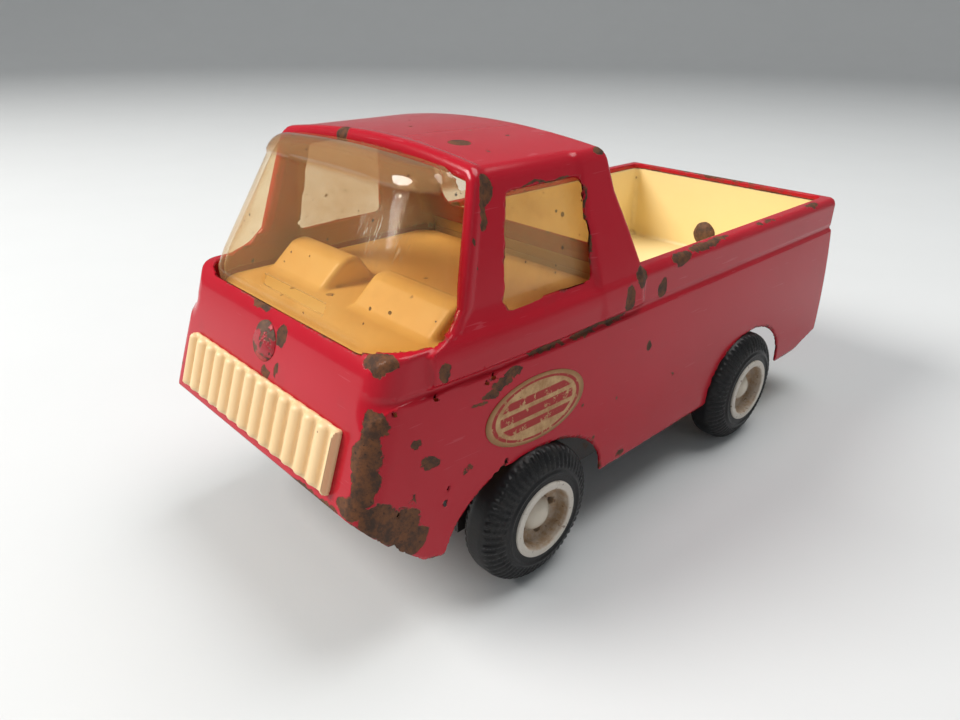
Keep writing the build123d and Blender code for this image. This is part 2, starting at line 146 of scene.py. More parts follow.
def cab(x, y, z):
    """Belt shoulder, recessed window panel, proud rear pillar and crowned roof, open at the front."""
    side = x + narrowing(y) * 0.6
    belt = round_both(side - BELT_X, (side - BELT_X) * 0.87 + (z - BELT_Z) * 0.5, 1.0)
    belt = round_both(belt, (y + 22.5 - (z - 54.0) * 0.608) * 0.85, 1.2)
    belt = round_both(belt, GROOVE_Z + 0.9 - z, 0.7)
    panel = (side - WINDOW_X + (z - WINDOW_Z) * 0.17) * 0.986
    proud = 1.4 - 1.2 * np.clip((z - 64.0) / 26.0, 0, 1)
    pillar = round_both(panel - proud, (-29.0 - (z - 64.0) * 0.11 - y) * 0.7 + panel * 0.4, 0.8)
    side = round_either(round_either(panel, pillar, 0.8), belt, 0.8)
    crown = (z - ROOF_Z + 2.6 * (x / 34.4) ** 2) * 0.99
    back = (y - np.interp(z, BACK_LINE[1], BACK_LINE[0])) * 0.92
    shape = round_both(round_both(side, crown, 2.6), back, 1.3)
    return np.maximum(shape, 57.0 - z)


def arch(y, z, middle, half_length, height):
    """Half an ellipse with straight sides below it."""
    u, v = np.abs(y - middle) + 1e-6, np.maximum(z - ARCH_Z, 0)
    nearness = np.hypot(u / half_length, v / height)
    return nearness * (nearness - 1) / np.hypot(u / half_length**2, v / height**2)


def body_shell(x, y, z):
    """The pressing: lower body and cab made hollow, then cut open."""
    x = np.abs(x)
    lower, upper = lower_body(x, y, z), cab(x, y, z)
    front = (np.interp(z, FRONT_LINE[1], FRONT_LINE[0]) - y) * 0.97
    edge = (np.interp(y, *LOWER_EDGE) - z) * 0.85
    outside = round_either(round_both(lower, edge, 0.4), round_both(upper, front, 0.4), 1.5)
    cab_hollow = np.maximum(upper + SHEET, np.minimum(front, COWL_Z + 0.2 - z))
    cab_hollow = np.maximum(cab_hollow, x + narrowing(y) - RAIL_X + SHEET)
    hollow = np.minimum(lower + SHEET, cab_hollow)
    shell = round_both(outside, -hollow, 0.35)
    frame_bead = np.hypot(upper + 1.3, front + 1.1) - 1.35
    shell = round_either(shell, round_both(frame_bead, COWL_Z + 0.6 - z, 0.6), 0.8)
    for half_x, low_y, high_y, radius in ((37.4, -84.2, -50.0, 10.0), (RAIL_INNER_X, BED_FRONT_Y, 92.4, 2.5)):
        opening = plan_box(x, y, half_x, low_y, high_y, radius)
        shell = round_both(shell, -np.maximum(opening, slab(z, 59.0, RAIL_Z + 2.0)), 0.3)
    lip = slab(plan_box(x, y, RAIL_INNER_X, BED_FRONT_Y, 92.4, 2.5), 0.0, 0.9)
    shell = np.minimum(shell, round_both(lip, slab(z, RAIL_Z - 1.9, RAIL_Z - 0.3), 0.3))
    shell = round_both(shell, -arch(y, z, *FRONT_ARCH), 0.35)
    shell = round_both(shell, -arch(y, z, *REAR_ARCH), 0.35)
    door = np.maximum(polygon(y, z, DOOR_WINDOW, 1.6), 30.0 - x)
    rear = np.maximum(round_both(x - 28.0, slab(z, 68.5, 86.8), 3.0), -28.0 - y)
    return round_both(round_both(shell, -door, 0.35), -np.maximum(rear, y - 5.0), 0.35)


def bubble(x, y, z, wall):
    """Column of the glazing, which leans back and narrows as it rises."""
    up = np.maximum(z - COWL_Z, 0)
    nose, back = -83.5 + 0.53 * up + wall, BED_FRONT_Y - 1.5 - 0.43 * up - wall
    half_x = 36.6 - 0.19 * np.maximum(z - 68.0, 0) - wall
    ahead = np.clip((np.interp(z, FRONT_LINE[1], FRONT_LINE[0]) - 0.5 - y) / 5.0, 0, 1)
    half_x = half_x + (0.4 + 0.11 * np.maximum(z - 64.0, 0)) * ahead * ahead * (3 - 2 * ahead)
    radius = np.where(y < (nose + back) / 2, 10.0 + 0.2 * up - wall, 3.5 - wall)
    return plan_box(x, y, half_x, nose, back, radius) * 0.93


def glazing(x, y, z):
    """Amber moulding with a thickened lip turned back towards the roof and a slot near its foot."""
    top = 94.2 - 1.6 * (x / 33.0) ** 2
    outer, inner = bubble(x, y, z, 0.0), bubble(x, y, z, PLASTIC)
    wall = round_both(round_both(outer, z - top, 2.2), -round_both(inner, z - top + 1.3, 1.4), 0.3)
    wall = round_both(wall, 61.0 - z, 0.3)
    wall = round_both(wall, -np.maximum(SIDE_PANE_TOP_Z - z, LIP_BACK_Y - y), 0.3)
    lip = round_both(round_both(outer - 0.5, z - top, 2.4), -np.maximum(inner, z - top + 1.3), 0.4)
    lip = round_both(round_both(lip, top - 3.6 - z, 0.5), y + 63.0 + (top - z) * 0.9, 0.6)
    wall = round_either(wall, lip, 0.5)
    slot = round_both(slab(x, -10.0, 14.5), slab(z, 65.0, 67.2), 0.6)
    return round_both(wall, -np.maximum(slot, y + 70.0), 0.3)


def cab_interior(x, y, z):
    """Deck with rounded front corners, and two wedge-shaped seat backs that stand on it."""
    plan = plan_box(x, y, 35.2, -81.8, BED_FRONT_Y - 2.9, 6.0)
    outside = round_both(plan, z - DECK_Z, 1.0)
    hollow = np.maximum(plan + PLASTIC, z - DECK_Z + PLASTIC)
    moulding = round_both(round_both(outside, -hollow, 0.3), 40.0 - z, 0.3)
    side = polygon(y, z, ((-70.0, 59.0), (-52.0, 59.0), (-57.3, 66.3), (-61.5, 66.3)), 1.2)
    for low, high in SEAT_XS:
        moulding = round_either(moulding, round_both(side, slab(x, low, high), 1.6), 0.9)
    return moulding


def bed_liner(x, y, z):
    """Open tray with rounded corners."""
    plan = plan_box(x, y, 37.2, BED_FRONT_Y + 0.2, REAR_Y - 1.4, 3.2)
    tray = round_both(plan, slab(z, BED_FLOOR_Z - PLASTIC, RAIL_Z - 1.9), 0.4)
    hollow = round_both(plan + PLASTIC, BED_FLOOR_Z - z, 1.6)
    return round_both(tray, -hollow, 0.3)


def grille(x, up, out):
    """Plate with upright half-round ribs; up and out are along and off the front panel."""
    outline = round_both(slab(x, -GRILLE_HALF_X, GRILLE_HALF_X), np.abs(up) - GRILLE_HALF_HEIGHT, 0.8)
    plate = round_both(outline, slab(out, 0.0, 0.8), 0.25)
    pitch = 2 * GRILLE_HALF_X / GRILLE_RIBS
    across = (x / pitch - np.floor(x / pitch) - 0.5) * pitch
    ends = np.abs(up) - GRILLE_HALF_HEIGHT + 0.15
    rib = round_both(np.hypot(across, out - 0.2) - 1.95, ends, 1.3)
    rib = np.maximum(rib, np.maximum(-out, np.abs(x) - GRILLE_HALF_X))
    return round_either(plate, rib, 0.35)


def rivet_head(x, up, out):
    """Low dome with a flattened, slightly uneven rim."""
    angle = np.arctan2(up, x)
    reach = np.hypot(x, up) + 0.09 * np.sin(3 * angle) + 0.05 * np.sin(7 * angle + 1.0)
    dome = np.hypot(reach, out + 5.65) - 7.3
    return round_both(round_both(dome, reach - 4.65, 0.4), slab(out, -0.1, 2.0), 0.2)


def tyre(x, y, z):
    """Bulging tyre with a row of shallow lugs round each shoulder; x is measured from its middle."""
    r = np.hypot(y, z)
    bulge = np.hypot(np.maximum(np.abs(x) - 1.2, 0) / 4.45, np.maximum(r - 10.4, 0) / 6.55)
    shape = (bulge - 1) * 4.9
    angle = np.arctan2(z, y)
    shoulder = np.clip((r - 12.4) / 0.5, 0, 1) * np.clip(np.abs(x) - 2.2, 0, 1)
    lug = np.clip(np.sin(angle * 56) * 2.2, -1, 1) * shoulder
    ring = np.hypot(np.abs(x) - 5.5, r - 11.4) - 0.45
    shape = round_either(shape - 0.14 * lug, ring, 0.3)
    return round_both(shape, 8.75 - r, 0.5)


def hub(x, y, z):
    """Barrel, outer ring, dished web with five holes, and bearing tube; x is from the wheel's inner face."""
    r = np.hypot(y, z)
    barrel = round_both(slab(r, 7.4, 8.6), slab(x, 0.6, 11.0), 0.25)
    ring = round_both(slab(r, 7.5, 9.45), slab(x, 10.95, 11.95), 0.4)
    dish = 8.1 - 0.9 * np.clip((7.2 - r) / 2.2, 0, 1)
    web = round_both(r - 7.9, np.maximum(x - dish, dish - 1.6 - x), 0.25)
    sector = math.tau / 5
    angle = np.arctan2(z, y)
    nearest = angle - np.round(angle / sector) * sector
    hole = np.hypot(r * np.cos(nearest) - 5.95, r * np.sin(nearest)) - 1.0
    tube = round_both(r - 3.2, slab(x, -0.5, 6.5), 0.3)
    solid = round_either(round_either(barrel, ring, 0.3), round_either(web, tube, 0.6), 0.5)
    solid = round_both(solid, -hole, 0.25)
    return round_both(solid, 1.6 - r, 0.1)


def axle_cap(x, y, z):
    """Domed cap with a small flange; x is from the wheel's inner face."""
    r = np.hypot(y, z)
    dome = np.hypot(r, x - 5.9) - 4.95
    flange = round_both(r - 4.65, slab(x, 7.45, 8.1), 0.25)
    dome = np.maximum(np.maximum(dome, 7.45 - x), r - 4.5)
    return round_either(dome, flange, 0.35)


# ---- meshes ----
def spaced(*stops):
    """Positions through (place, step to the next) pairs, ending at the last place."""
    parts = [np.arange(start, end, step) for (start, step), (end, _) in zip(stops, stops[1:])]
    return np.concatenate(parts + [[stops[-1][0]]])


def slope(field, points, step=0.03):
    """Gradient of a field at the points, one row per axis."""
    rows = []
    for shift in np.eye(3)[:, :, None] * step:
        rows.append((field(*(points + shift)) - field(*(points - shift))) / (2 * step))
    return np.array(rows)


def new_piece(name, points, faces, material, normals=None):
    """Smooth mesh object from points in metres."""
    mesh = bpy.data.meshes.new(name)
    mesh.from_pydata(points, [], faces)
    mesh.shade_smooth()
    if normals is not None:
        mesh.normals_split_custom_set_from_vertices(normals)
    mesh.materials.append(material)
    piece = bpy.data.objects.new(name, mesh)
    bpy.context.scene.collection.objects.link(piece)
    return piece


def skin(name, field, axes, material, place=Matrix()):
    """Piece whose surface is where the field is zero; place takes its millimetres to metres."""
    values = field(axes[0][:, None, None], axes[1][None, :, None], axes[2][None, None, :])
    grid = openvdb.FloatGrid(9.0)
    grid.copyFromArray(np.ascontiguousarray(np.broadcast_to(values, [len(a) for a in axes]), np.float32))
    cells, faces = grid.convertToQuads()
    points = np.array([np.interp(c, np.arange(len(a)), a) for c, a in zip(cells.T, axes)])
    for _ in range(3):
        gradient = slope(field, points)
        move = field(*points) * gradient / np.maximum((gradient**2).sum(axis=0), 0.2)
        points -= np.clip(move, -0.25, 0.25)
    gradient = slope(field, points)
    normals = gradient / np.maximum(np.sqrt((gradient**2).sum(axis=0)), 1e-6)
    first = points[:, faces]
    facing = np.cross(first[:, :, 2] - first[:, :, 0], first[:, :, 3] - first[:, :, 1], axis=0)
    if (facing * normals[:, faces[:, 0]]).sum() < 0:
        faces = faces[:, ::-1]
    turn = np.array(place.to_3x3().normalized())
    moved = (np.array(place) @ np.vstack([points, np.ones(points.shape[1])]))[:3]
    return new_piece(name, moved.T, faces.tolist(), material, (turn @ normals).T)


def from_datum():
    """Place that takes millimetres above the datum to metres above the floor."""
    return Matrix.Translation((0, 0, DATUM * MM)) @ Matrix.Scale(MM, 4)


def on_front_panel(z, x=0.0):
    """Place on the front panel, with local Y up along it and local Z out of it."""
    out = Vector((0, -1, LEAN)).normalized()
    up = Vector((0, LEAN, 1)).normalized()
    turn = Matrix(((1, 0, 0), tuple(up), tuple(out))).transposed().to_4x4()
    origin = Vector((x, CHIN_Y + (z - CHIN_Z) * LEAN, z + DATUM)) * MM
    return Matrix.Translation(origin) @ turn @ Matrix.Scale(MM, 4)


def cubic(low, high, step):
    """Evenly spaced axes over a box."""
    return [np.arange(a - step, b + 2 * step, step) for a, b in zip(low, high)]


def standing_for(piece, node, body):
    """Show the piece instead of a CAD node, moving with a body."""
    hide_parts(node)
    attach(piece, body)
    return piece


# ---- materials ----
class Material:
    """Node tree of one material, with short calls for the nodes used here."""

    def __init__(self, name):
        self.material = bpy.data.materials.new(name)
        self.material.use_nodes = True
        self.nodes = self.material.node_tree.nodes
        self.shader = self.nodes["Principled BSDF"]
        place = self.add("ShaderNodeTexCoord").outputs["Object"]
        self.place = self.vector("SCALE", place, scale=1 / MM)  # millimetres

    def add(self, kind, **settings):
        node = self.nodes.new(kind)
        for name, value in settings.items():
            setattr(node, name, value)
        return node

    def feed(self, socket, value):
        if isinstance(value, bpy.types.NodeSocket):  # an output to link, not a plain value
            self.material.node_tree.links.new(value, socket)
        else:
            socket.default_value = value

    def vector(self, operation, a, b=None, scale=None):
        node = self.add("ShaderNodeVectorMath", operation=operation)
        self.feed(node.inputs[0], a)
        if b is not None:
            self.feed(node.inputs[1], b)
        if scale is not None:
            node.inputs["Scale"].default_value = scale
        return node.outputs["Value" if operation == "LENGTH" else "Vector"]

    def math(self, operation, a, b=0.5):
        node = self.add("ShaderNodeMath", operation=operation)
        for socket, value in zip(node.inputs, (a, b)):
            self.feed(socket, value)
        return node.outputs[0]

    def fade(self, value, start, end):
        """0 at start and 1 at end, smoothly."""
        node = self.add("ShaderNodeMapRange", interpolation_type="SMOOTHSTEP")
        self.feed(node.inputs["Value"], value)
        node.inputs["From Min"].default_value = start
        node.inputs["From Max"].default_value = end
        return node.outputs["Result"]

    def axis(self, name):
        """One coordinate of the place, in millimetres."""
        split = self.add("ShaderNodeSeparateXYZ")
        self.feed(split.inputs[0], self.place)
        return split.outputs[name]

    def noise(self, size, detail=4.0, roughness=0.6, place=None, output="Fac"):
        """Noise whose features are about size millimetres across."""
        node = self.add("ShaderNodeTexNoise")
        self.feed(node.inputs["Vector"], self.place if place is None else place)
        node.inputs["Scale"].default_value = 1.0 / size
        node.inputs["Detail"].default_value = detail
        node.inputs["Roughness"].default_value = roughness
        return node.outputs[output]

    def ragged(self, size, reach):
        """The place, pushed about by up to roughly reach millimetres."""
        noise = self.noise(size, 5.0, 0.7, output="Color")
        push = self.vector("SUBTRACT", noise, (0.5, 0.5, 0.5))
        return self.vector("ADD", self.place, self.vector("SCALE", push, scale=2 * reach))

    def mix(self, amount, a, b):
        """Colour a where amount is 0 and b where it is 1."""
        node = self.add("ShaderNodeMix", data_type="RGBA")
        for socket, value in zip((node.inputs[0], node.inputs[6], node.inputs[7]), (amount, a, b)):
            self.feed(socket, (*value, 1.0) if isinstance(value, tuple) else value)
        return node.outputs[2]

    def blend(self, amount, a, b):
        """Number a where amount is 0 and b where it is 1."""
        node = self.add("ShaderNodeMix", data_type="FLOAT")
        for socket, value in zip((node.inputs[0], node.inputs[2], node.inputs[3]), (amount, a, b)):
            self.feed(socket, value)
        return node.outputs[0]

    def blots(self, place, ellipsoids):
        """Under 1 within any of the ellipsoids, each (centre, half sizes) in millimetres above the datum."""
        nearest = None
        for (x, y, z), radii in ellipsoids:
            node = self.add("ShaderNodeVectorMath", operation="MULTIPLY_ADD")
            self.feed(node.inputs[0], place)
            node.inputs[1].default_value = [1 / r for r in radii]
            node.inputs[2].default_value = [-c / r for c, r in zip((x, y, z + DATUM), radii)]
            distance = self.vector("LENGTH", node.outputs["Vector"])
            nearest = distance if nearest is None else self.math("MINIMUM", nearest, distance)
        return nearest

    def specks(self, place, size, share):
        """1 in small round spots, in about that share of cells of the size given."""
        node = self.add("ShaderNodeTexVoronoi")
        self.feed(node.inputs["Vector"], place)
        node.inputs["Scale"].default_value = 1.0 / size
        split = self.add("ShaderNodeSeparateColor")
        self.feed(split.inputs[0], node.outputs["Color"])
        lucky = self.math("SUBTRACT", split.outputs[0], 1.0 - share)
        reach = self.math("MULTIPLY", lucky, 0.28 / share)
        return self.fade(self.math("SUBTRACT", reach, node.outputs["Distance"]), 0.0, 0.03)

    def any_of(self, *masks):
        """The largest of the masks."""
        total = masks[0]
        for mask in masks[1:]:
            total = self.math("MAXIMUM", total, mask)
        return total

    def edges(self, low, high):
        """1 on sharp outward edges."""
        return self.fade(self.add("ShaderNodeNewGeometry").outputs["Pointiness"], low, high)

    def finish(self, colour, roughness, height=None, depth=0.1, soften=None, **sockets):
        """Fill the shader; depth is the bump's height in millimetres, soften the radius given to edges."""
        self.feed(self.shader.inputs["Base Color"], (*colour, 1.0) if isinstance(colour, tuple) else colour)
        self.feed(self.shader.inputs["Roughness"], roughness)
        normal = None
        if soften is not None:
            bevel = self.add("ShaderNodeBevel", samples=4)
            bevel.inputs["Radius"].default_value = soften * MM
            normal = bevel.outputs["Normal"]
        if height is not None:
            bump = self.add("ShaderNodeBump")
            self.feed(bump.inputs["Height"], height)
            bump.inputs["Distance"].default_value = depth * MM
            if normal is not None:
                self.feed(bump.inputs["Normal"], normal)
            normal = bump.outputs["Normal"]
        if normal is not None:
            self.feed(self.shader.inputs["Normal"], normal)
        for name, value in sockets.items():
            self.feed(self.shader.inputs[name.replace("_", " ")], value)
        return self.material


# worn places on the body, as (centre, half sizes): x, y, z in millimetres
FRONT_WEAR = [
    ((37.0, -88.8, 52.0), (2.2, 4.0, 3.4)), ((37.6, -90.8, 47.0), (3.0, 4.0, 4.2)),
    ((38.6, -92.6, 41.5), (2.6, 4.0, 4.4)), ((38.0, -94.6, 36.6), (5.0, 3.0, 2.6)),
    ((43.0, -91.0, 34.0), (5.0, 5.0, 4.6)), ((44.6, -87.0, 38.0), (3.0, 3.4, 4.8)),
    ((43.5, -86.0, 30.5), (5.0, 6.0, 5.0)), ((44.0, -82.5, 34.5), (3.0, 3.0, 3.4)),
    ((43.0, -83.5, 26.0), (5.0, 5.0, 4.0)), ((25.0, -95.0, 34.0), (9.0, 2.0, 1.0)),
    ((36.2, -84.5, 62.6), (5.0, 3.0, 1.9)), ((41.0, -73.5, 59.0), (2.0, 1.4, 2.0)),
    ((4.4, -86.7, 58.9), (2.0, 3.0, 2.4)), ((1.1, -89.7, 50.1), (1.5, 3.0, 1.2)),
    ((4.7, -89.2, 51.7), (0.9, 3.0, 1.4)), ((-6.0, -85.8, 62.4), (3.4, 2.0, 1.1)),
    ((-38.0, -83.0, 62.4), (1.6, 2.5, 1.6)), ((27.0, -85.0, 63.2), (4.0, 2.0, 0.7)),
]
SIDE_WEAR = [
    ((41.5, -80.5, 46.5), (3.0, 1.3, 1.4)), ((42.5, -77.5, 41.5), (3.0, 2.4, 1.6)),
    ((44.5, -68.5, 36.0), (3.0, 2.5, 2.0)), ((44.5, -74.0, 34.3), (3.0, 1.1, 1.0)),
    ((42.0, -55.5, 53.4), (3.0, 2.8, 1.1)), ((42.0, -59.0, 52.0), (3.0, 3.0, 1.1)),
    ((42.5, -62.5, 50.6), (3.0, 2.8, 0.9)), ((42.5, -65.5, 49.2), (3.0, 2.4, 0.5)),
    ((41.2, -3.4, 58.2), (2.5, 1.6, 2.7)), ((43.6, -8.0, 45.0), (3.0, 1.4, 1.9)),
    ((45.3, -36.0, 35.5), (3.0, 0.9, 1.0)), ((45.4, -29.5, 27.5), (3.0, 1.2, 1.0)),
    ((45.5, -21.0, 34.5), (3.0, 1.0, 1.6)), ((45.5, -14.0, 31.0), (3.0, 0.8, 1.0)),
    ((44.5, -17.0, 17.8), (3.0, 2.6, 1.4)), ((45.5, 4.0, 33.5), (3.0, 1.1, 1.2)),
    ((41.5, -46.0, 55.8), (2.0, 9.0, 0.8)), ((41.5, -28.0, 55.9), (2.0, 11.0, 1.1)),
    ((40.0, -12.7, 63.8), (2.6, 2.6, 3.2)), ((40.9, -18.0, 59.8), (2.4, 2.0, 3.6)),
    ((36.0, -58.6, 90.0), (3.2, 1.7, 3.6)), ((36.6, -59.3, 85.6), (3.0, 1.1, 3.0)),
    ((37.5, -62.0, 81.5), (2.0, 0.6, 1.1)), ((38.4, -62.4, 76.0), (2.0, 0.5, 0.8)),
    ((37.0, -42.0, 89.1), (3.0, 10.0, 0.5)), ((37.5, -30.5, 79.0), (3.0, 0.5, 8.0)),
    ((40.0, 5.0, 64.6), (2.6, 4.2, 1.8)), ((39.2, 22.0, 65.4), (2.4, 13.0, 1.0)),
    ((39.6, 52.0, 65.6), (1.6, 10.0, 0.7)), ((39.6, 78.0, 65.6), (1.6, 9.0, 0.7)),
    ((-2.0, -47.0, 95.5), (0.7, 0.3, 0.9)), ((10.0, -39.0, 95.5), (0.4, 0.8, 0.9)),
    ((20.0, -27.0, 94.5), (0.6, 0.3, 0.9)), ((25.5, -49.0, 94.5), (1.0, 0.35, 0.9)),
    ((34.0, -24.0, 92.6), (1.3, 2.0, 1.4)),
    ((0.0, 94.5, 65.4), (37.0, 2.2, 0.7)), ((-38.5, 30.0, 65.4), (2.0, 24.0, 0.6)),
    ((-44.0, -40.0, 47.0), (3.0, 2.4, 1.6)), ((-44.5, 10.0, 34.0), (3.0, 3.0, 2.0)),
    ((-41.0, -60.0, 60.0), (3.0, 3.0, 1.8)), ((20.0, 95.0, 30.0), (4.0, 2.0, 3.0)),
    ((-43.0, -86.0, 34.0), (3.0, 4.0, 3.0)), ((-30.0, 95.0, 58.0), (4.0, 2.0, 2.5)),
]


def red_enamel():
    """Glossy enamel chipped to brown rust at the blows, along edges and in scattered spots."""
    m = Material("red_enamel_worn")
    rough_place = m.ragged(7.0, 2.6)
    blots = m.fade(m.blots(rough_place, FRONT_WEAR + SIDE_WEAR), 1.04, 0.96)
    edge_noise = m.noise(5.0, 6.0, 0.7)
    edges = m.math("MULTIPLY", m.edges(0.53, 0.58), m.fade(edge_noise, 0.52, 0.58))
    near_place = m.ragged(1.6, 0.5)
    spots = m.any_of(m.specks(near_place, 9.0, 0.14), m.specks(near_place, 3.6, 0.05))
    bare = m.any_of(blots, edges, spots)
    stretched = m.vector("MULTIPLY", m.place, (0.09, 0.09, 1.6))
    scratch = m.fade(m.noise(1.0, 2.0, 0.5, stretched), 0.70, 0.74)
    tone = m.mix(m.noise(38.0, 3.0), (0.42, 0.008, 0.018), (0.52, 0.012, 0.030))
    tone = m.mix(m.math("MULTIPLY", scratch, 0.25), tone, (0.62, 0.12, 0.15))
    grime = m.fade(m.noise(16.0, 6.0, 0.7), 0.56, 0.80)
    tone = m.mix(m.math("MULTIPLY", grime, 0.22), tone, (0.16, 0.035, 0.035))
    rust = m.mix(m.fade(m.noise(2.2, 7.0, 0.75), 0.36, 0.66), (0.055, 0.030, 0.020), (0.175, 0.066, 0.026))
    rust = m.mix(m.fade(m.noise(0.7, 3.0), 0.60, 0.72), rust, (0.030, 0.018, 0.014))
    colour = m.mix(bare, tone, rust)
    roughness = m.blend(bare, m.blend(m.noise(9.0, 5.0), 0.13, 0.26), 0.74)
    grain = m.math("MULTIPLY", m.noise(0.6, 4.0), m.blend(bare, 0.02, 0.30))
    height = m.math("SUBTRACT", grain, m.math("MULTIPLY", bare, 0.75))
    return m.finish(colour, roughness, height, 0.16,
                    Specular_IOR_Level=0.22, Coat_Weight=0.10, Coat_Roughness=0.08)


def amber_glazing():
    """Clear amber plastic, browner in its thick lip, with haze, fine scratches and specks of dirt; pale
    upright streaks at the near front corner are partly scratches and partly a painted highlight, and the side
    panes get extra haze that is partly a painted reflection.
    """
    m = Material("amber_glazing_scratched")
    lip = m.math("MULTIPLY", m.fade(m.axis("Z"), 89.9, 91.5), m.fade(m.axis("Y"), -58.0, -61.0))
    # Side panes get extra opaque amber: partly real haze and dust, partly a painted reflection of warm light
    # that hides the shaded wall behind them.
    off_centre = m.fade(m.math("ABSOLUTE", m.axis("X")), 31.5, 32.5)
    side_pane = m.math("MULTIPLY", off_centre, m.fade(m.axis("Y"), -60.0, -56.0))
    # Pale upright streaks in a patch at the near front corner: partly scratches, partly a painted highlight
    # standing in for the corner's vertical reflection.
    scuff_and_highlight_patch = m.fade(m.blots(m.ragged(6.0, 3.0), [((22.0, -72.0, 82.0), (9.0, 9.0, 9.0))]), 1.2, 0.2)
    streaks = m.fade(m.noise(1.0, 3.0, 0.6, m.vector("MULTIPLY", m.place, (1.6, 0.4, 0.16))), 0.58, 0.66)
    scuffs_and_painted_highlight = m.math("MULTIPLY", scuff_and_highlight_patch, m.blend(streaks, 0.30, 1.0))
    haze = m.fade(m.noise(14.0, 5.0, 0.7), 0.40, 0.80)
    dark_marks = m.any_of(m.specks(m.place, 2.2, 0.05), m.specks(m.place, 1.3, 0.04))
    clear = m.mix(haze, (0.98, 0.93, 0.84), (0.95, 0.87, 0.74))
    clear = m.mix(m.math("MULTIPLY", lip, 0.8), clear, (0.80, 0.60, 0.42))
    body = m.mix(haze, (0.80, 0.56, 0.27), (0.72, 0.44, 0.17))
    body = m.mix(m.math("MULTIPLY", lip, 0.7), body, (0.34, 0.16, 0.06))
    body = m.mix(scuffs_and_painted_highlight, body, (0.92, 0.84, 0.72))
    body = m.mix(dark_marks, body, (0.09, 0.045, 0.02))
    facing = m.add("ShaderNodeLayerWeight")
    facing.inputs["Blend"].default_value = 0.5
    gloss = m.blend(m.math("POWER", facing.outputs["Facing"], 4.0), 0.05, 0.9)
    solid = m.any_of(m.blend(haze, 0.05, 0.14), m.math("MULTIPLY", lip, 0.42),
                     m.math("MULTIPLY", side_pane, m.blend(haze, 0.22, 0.34)),
                     m.math("MULTIPLY", scuffs_and_painted_highlight, 0.42), m.math("MULTIPLY", dark_marks, 0.85), gloss)
    roughness = m.blend(m.any_of(scuffs_and_painted_highlight, haze), 0.05, 0.34)
    m.finish(body, roughness, m.noise(9.0, 2.0), 0.08, Coat_Weight=1.0, Coat_Roughness=0.04)
    through, both = m.add("ShaderNodeBsdfTransparent"), m.add("ShaderNodeMixShader")
    m.feed(through.inputs["Color"], clear)
    m.feed(both.inputs[0], solid)
    m.feed(both.inputs[1], through.outputs[0])
    m.feed(both.inputs[2], m.shader.outputs[0])
    m.feed(m.nodes["Material Output"].inputs["Surface"], both.outputs[0])
    return m.material


def moulded(name, light, dark, faded, roughness):
    """Aged moulded plastic: uneven tone, faded behind the cab, darker brown in patches along inward creases,
    and fine specks.
    """
    m = Material(name)
    tone = m.mix(m.fade(m.noise(30.0, 4.0), 0.3, 0.7), light, dark)
    behind_cab = m.fade(m.axis("Y"), -13.5, -12.5)
    tone = m.mix(m.math("MULTIPLY", behind_cab, m.blend(m.noise(24.0), 0.7, 1.0)), tone, faded)
    dark_brown = (0.25, 0.12, 0.05)
    # Darker brown in noisy patches where the surface curves inwards, in the creases and inner corners.
    hollow = m.edges(0.49, 0.44)
    dark_marks = m.math("MULTIPLY", hollow, m.fade(m.noise(3.0, 5.0), 0.35, 0.7))
    tone = m.mix(m.math("MULTIPLY", dark_marks, 0.7), tone, dark_brown)
    specks = m.any_of(m.specks(m.ragged(1.5, 0.3), 6.0, 0.06), m.specks(m.place, 2.6, 0.03))
    tone = m.mix(m.math("MULTIPLY", specks, 0.7), tone, dark_brown)
    shine = m.blend(m.noise(7.0, 5.0), roughness - 0.08, roughness + 0.12)
    return m.finish(tone, shine, m.noise(0.9, 5.0), 0.03)


def wheel_plastic():
    """Off-white ring round a dish stained tan by rust that has run from the axle."""
    m = Material("white_plastic_stained")
    r = m.vector("LENGTH", m.vector("MULTIPLY", m.ragged(2.0, 0.5), (0.0, 1.0, 1.0)))
    dish = m.fade(r, 8.0, 7.2)
    patches = m.fade(m.noise(3.2, 5.0, 0.7), 0.34, 0.62)
    tone = m.mix(m.noise(8.0), (0.56, 0.50, 0.43), (0.66, 0.62, 0.56))
    tan = m.mix(m.noise(1.2, 5.0), (0.30, 0.17, 0.085), (0.46, 0.32, 0.19))
    tone = m.mix(m.math("MULTIPLY", dish, m.blend(patches, 0.55, 1.0)), tone, tan)
    tone = m.mix(m.math("MULTIPLY", m.fade(m.noise(1.4, 5.0), 0.60, 0.68), 0.7), tone, (0.13, 0.065, 0.03))
    return m.finish(tone, m.blend(patches, 0.34, 0.6), m.noise(0.5, 4.0), 0.05)


def cap_enamel():
    """Shiny cream dome, pitted and stained at its rim."""
    m = Material("cap_steel_worn")
    r = m.vector("LENGTH", m.vector("MULTIPLY", m.ragged(1.5, 0.4), (0.0, 1.0, 1.0)))
    rim = m.math("MULTIPLY", m.fade(r, 3.5, 4.6), m.fade(m.noise(1.5, 5.0), 0.35, 0.6))
    pits = m.specks(m.place, 1.5, 0.12)
    tone = m.mix(m.noise(4.0), (0.58, 0.50, 0.40), (0.70, 0.64, 0.54))
    tone = m.mix(m.any_of(rim, m.math("MULTIPLY", pits, 0.8)), tone, (0.16, 0.09, 0.05))
    return m.finish(tone, m.blend(rim, 0.16, 0.6), m.noise(0.8, 4.0), 0.04)


def tyre_rubber():
    """Satin black rubber, greyed with dust where it is worn."""
    m = Material("tyre_rubber_worn")
    dust = m.math("MULTIPLY", m.fade(m.noise(5.0, 6.0, 0.7), 0.42, 0.75), 0.5)
    worn = m.math("MULTIPLY", m.edges(0.52, 0.60), 0.35)
    tone = m.mix(m.any_of(dust, worn), (0.008, 0.008, 0.009), (0.036, 0.033, 0.030))
    return m.finish(tone, m.blend(dust, 0.36, 0.66), m.noise(0.5, 5.0), 0.06, Specular_IOR_Level=0.3)


